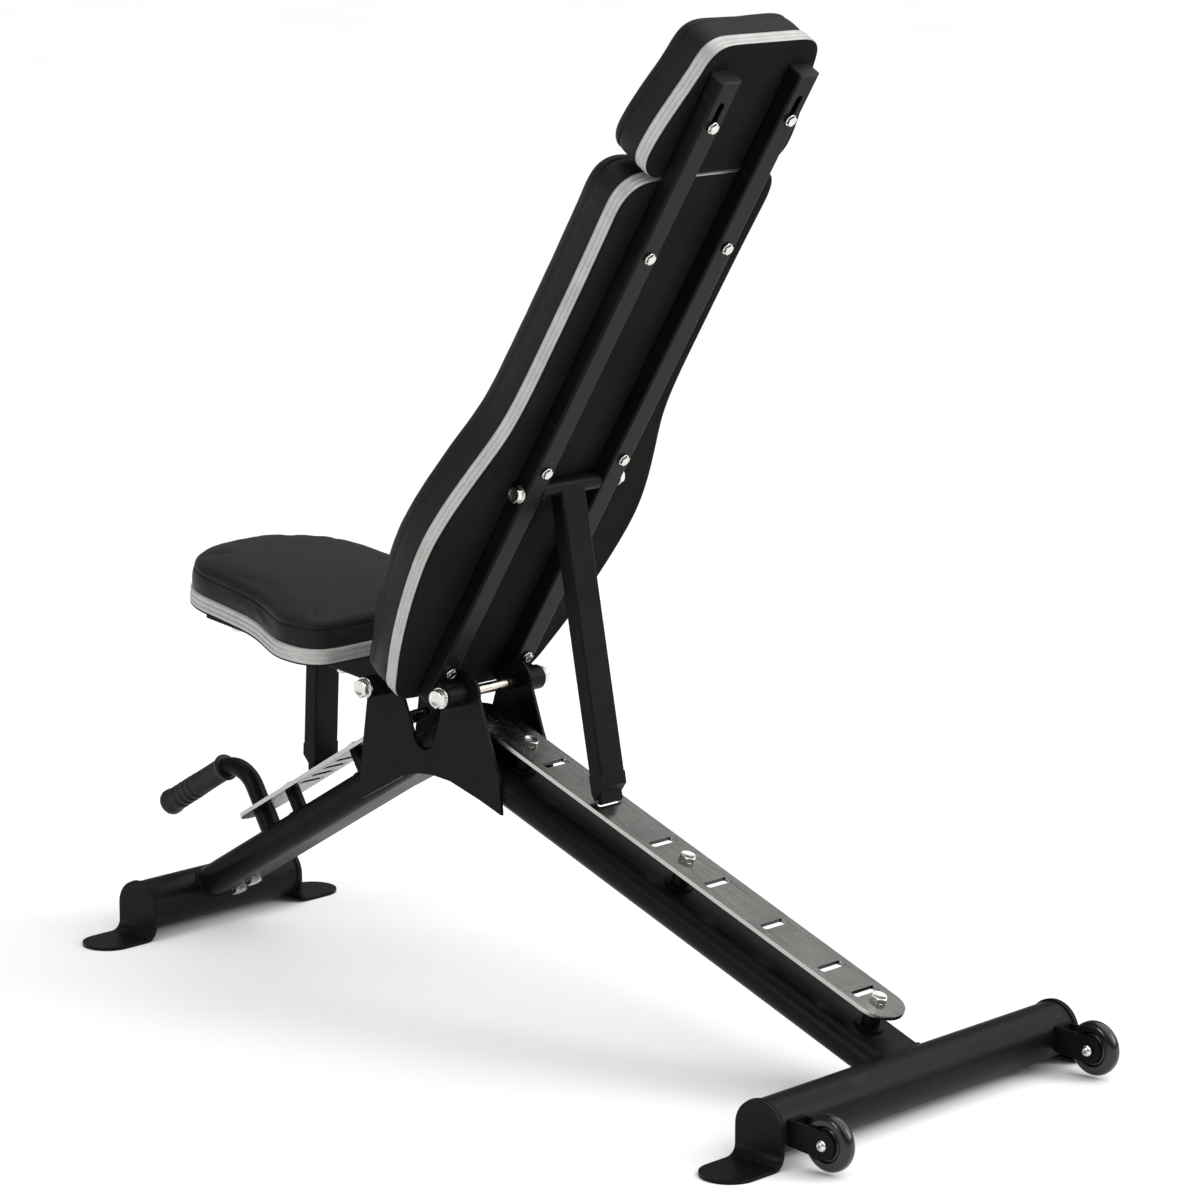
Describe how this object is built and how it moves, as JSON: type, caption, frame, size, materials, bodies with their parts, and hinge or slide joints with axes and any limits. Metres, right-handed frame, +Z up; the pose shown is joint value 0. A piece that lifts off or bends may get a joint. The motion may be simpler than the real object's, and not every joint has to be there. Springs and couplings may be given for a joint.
{
  "type": "adjustable weight bench",
  "caption": "Adjustable weight bench on two cross tubes, with a hinged backrest and seat propped on slotted ladders, a sliding headrest, a lifting handle and transport wheels.",
  "frame": {"origin": "on the floor, under the middle of the bench's bounding box", "axes": "+Z up, +Y from the seat's handle towards the wheels, +X to the left of a person who sits on the bench"},
  "size_m": [0.639, 1.2808, 1.1326],
  "materials": {
    "frame_paint": "satin",
    "ladder_steel": "satin",
    "zinc": "satin",
    "grip_rubber": "matte",
    "wheel_plastic": "gloss",
    "bush_steel": "satin",
    "cap_plastic": "matte",
    "board": "matte",
    "foam": "matte",
    "cover": "satin",
    "trim": "matte"
  },
  "bodies": {
    "base": {"front_cross_tube": "frame_paint", "rear_cross_tube": "frame_paint", "front_foot_left": "frame_paint", "front_foot_right": "frame_paint", "rear_foot_left": "frame_paint", "rear_foot_right": "frame_paint", "front_main_tube": "frame_paint", "rear_main_tube": "frame_paint", "pivot_plate_left": "frame_paint", "pivot_plate_right": "frame_paint", "rear_ladder": "ladder_steel", "front_ladder": "ladder_steel", "rear_ladder_posts": "frame_paint", "front_ladder_posts": "frame_paint", "rear_ladder_bolts": "zinc", "front_ladder_bolts": "zinc", "front_joint_bolts": "zinc", "handle_tube": "frame_paint", "handle_grip": "grip_rubber", "wheel_fork_left": "frame_paint", "wheel_fork_right": "frame_paint", "wheel_axles": "zinc", "back_pivot_bolt": "zinc", "seat_pivot_bolt": "zinc", "pivot_washers": "zinc", "pivot_spacers": "frame_paint"},
    "wheel_left": {"wheel_left": "wheel_plastic", "wheel_bush_left": "bush_steel"},
    "wheel_right": {"wheel_right": "wheel_plastic", "wheel_bush_right": "bush_steel"},
    "backrest": {"back_rail_left": "frame_paint", "back_rail_right": "frame_paint", "back_rail_caps": "cap_plastic", "back_board": "board", "back_foam": "foam", "back_cover": "cover", "back_trim": "trim", "back_pad_bolts": "zinc", "back_prop_bolt": "zinc"},
    "headrest": {"head_board": "board", "head_foam": "foam", "head_cover": "cover", "head_trim": "trim", "head_bolts": "zinc"},
    "back_prop": {"back_prop_tube": "frame_paint", "back_prop_sleeve": "frame_paint", "back_prop_tongue": "frame_paint"},
    "seat": {"seat_rail_left": "frame_paint", "seat_rail_right": "frame_paint", "seat_rail_caps": "cap_plastic", "seat_board": "board", "seat_foam": "foam", "seat_cover": "cover", "seat_trim": "trim", "seat_pad_bolts": "zinc", "seat_prop_bolt": "zinc"},
    "seat_prop": {"seat_prop_tube": "frame_paint", "seat_prop_sleeve": "frame_paint", "seat_prop_tongue": "frame_paint"}
  },
  "joints": [
    {"name": "backrest_hinge", "type": "hinge", "parent": "base", "child": "backrest", "pos_m": [0, -0.08106, 0.3585], "axis": [1, 0, 0], "range_deg": [-68, 0]},
    {"name": "back_prop_hinge", "type": "hinge", "parent": "backrest", "child": "back_prop", "pos_m": [0, 0.03932, 0.60374], "axis": [1, 0, 0], "range_deg": [0, 110]},
    {"name": "headrest_slide", "type": "slide", "parent": "backrest", "child": "headrest", "axis": [0, 0.5225, 0.8526], "range_m": [0, 0.025]},
    {"name": "seat_hinge", "type": "hinge", "parent": "base", "child": "seat", "pos_m": [0, -0.20256, 0.352], "axis": [-1, 0, 0], "range_deg": [-7.3, 8.3]},
    {"name": "seat_prop_hinge", "type": "hinge", "parent": "seat", "child": "seat_prop", "pos_m": [0, -0.35313, 0.38863], "axis": [-1, 0, 0], "range_deg": [-18.5, 16.5]},
    {"name": "wheel_left_spin", "type": "hinge", "parent": "base", "child": "wheel_left", "pos_m": [0.219, 0.6105, 0.033], "axis": [1, 0, 0], "continuous": true},
    {"name": "wheel_right_spin", "type": "hinge", "parent": "base", "child": "wheel_right", "pos_m": [-0.219, 0.6105, 0.033], "axis": [1, 0, 0], "continuous": true}
  ],
  "couplings": [
    {"joint": "back_prop_hinge", "follows": "backrest_hinge", "ratio": -1.61},
    {"joint": "seat_prop_hinge", "follows": "seat_hinge", "ratio": -2.2}
  ]
}
